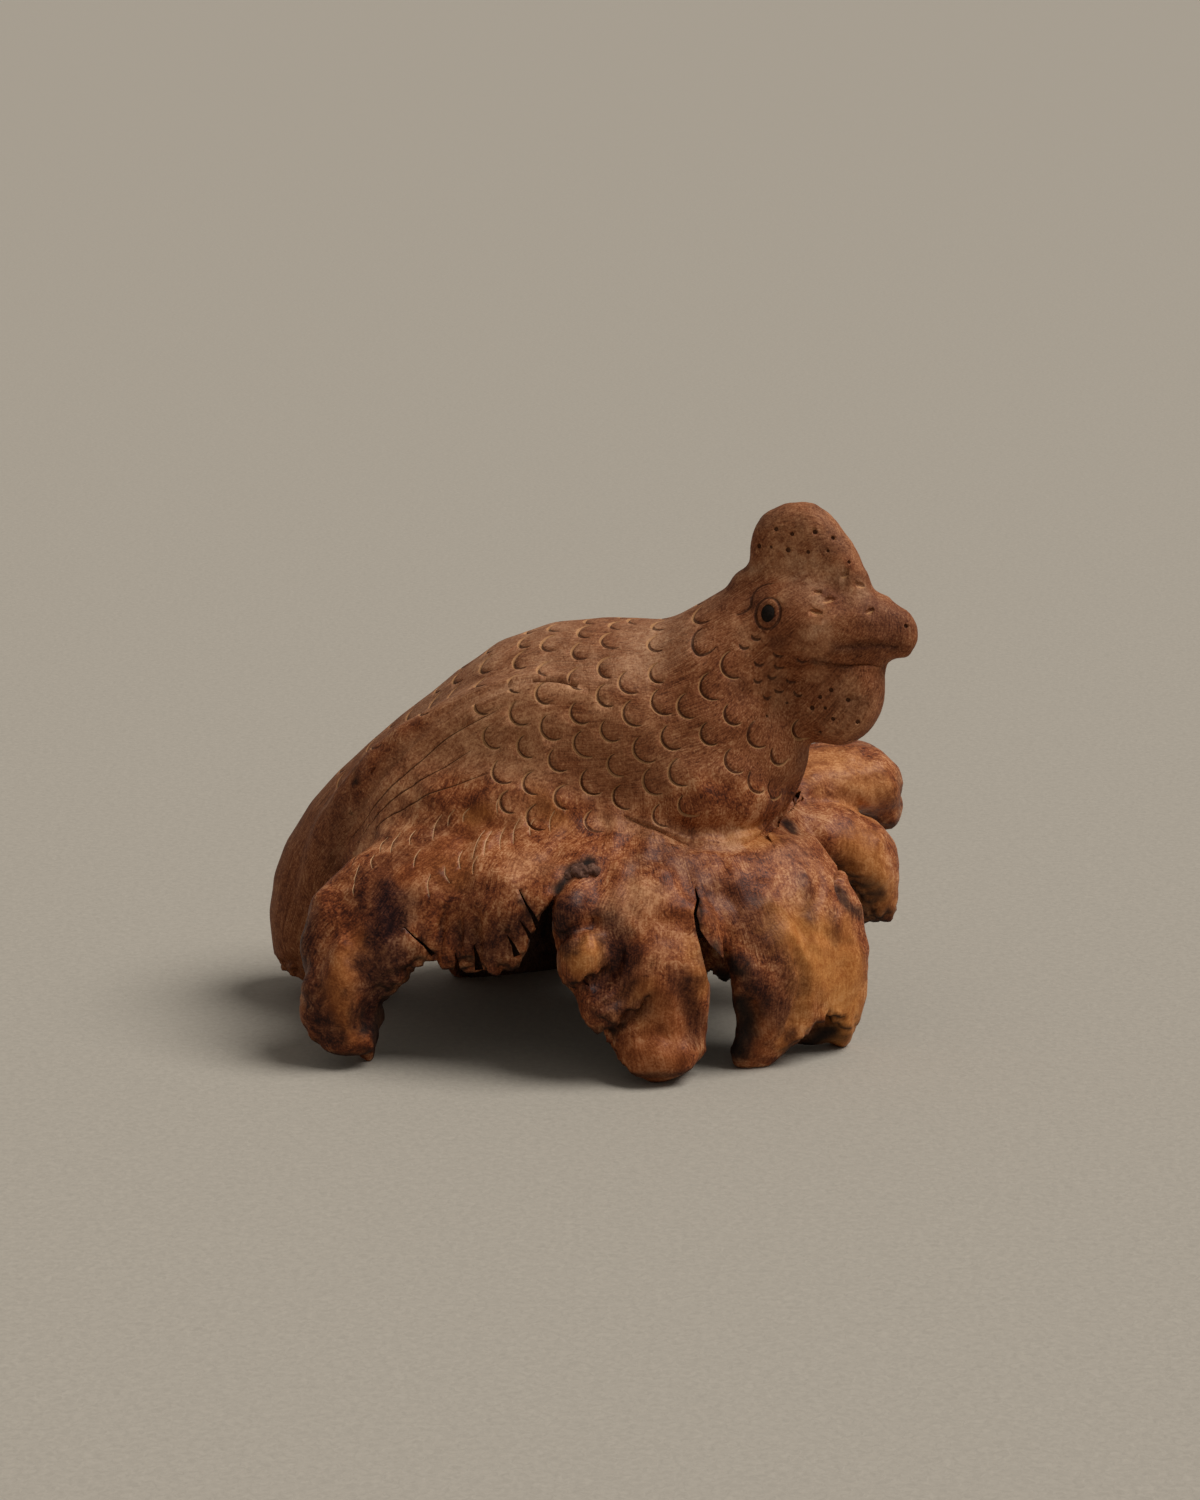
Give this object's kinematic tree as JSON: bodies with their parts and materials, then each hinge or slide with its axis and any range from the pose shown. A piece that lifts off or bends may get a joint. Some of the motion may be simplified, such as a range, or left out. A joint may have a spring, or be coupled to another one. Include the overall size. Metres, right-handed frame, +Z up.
{
  "type": "hen carving",
  "caption": "Small sitting hen carved in the round from a wooden burl, with incised feathers and inlaid eyes, standing on the burl's flared lobes and its tail.",
  "frame": {"origin": "on the table, under the middle of the carving's box", "axes": "+Z up; +X to the right as the picture shows it, with the hen looking along +X and turned 16 degrees towards -Y; -Y towards the viewer"},
  "size_m": [0.1232, 0.085, 0.1005],
  "materials": {
    "burl_wood": "matte, rubbed, reddish brown burl",
    "peg_wood": "satin, blackened",
    "bark": "rough, dry bark"
  },
  "bodies": {
    "root": {"carved_hen": "burl_wood", "left_eye_peg": "peg_wood", "right_eye_peg": "peg_wood", "bark_scrap": "bark"}
  },
  "joints": []
}
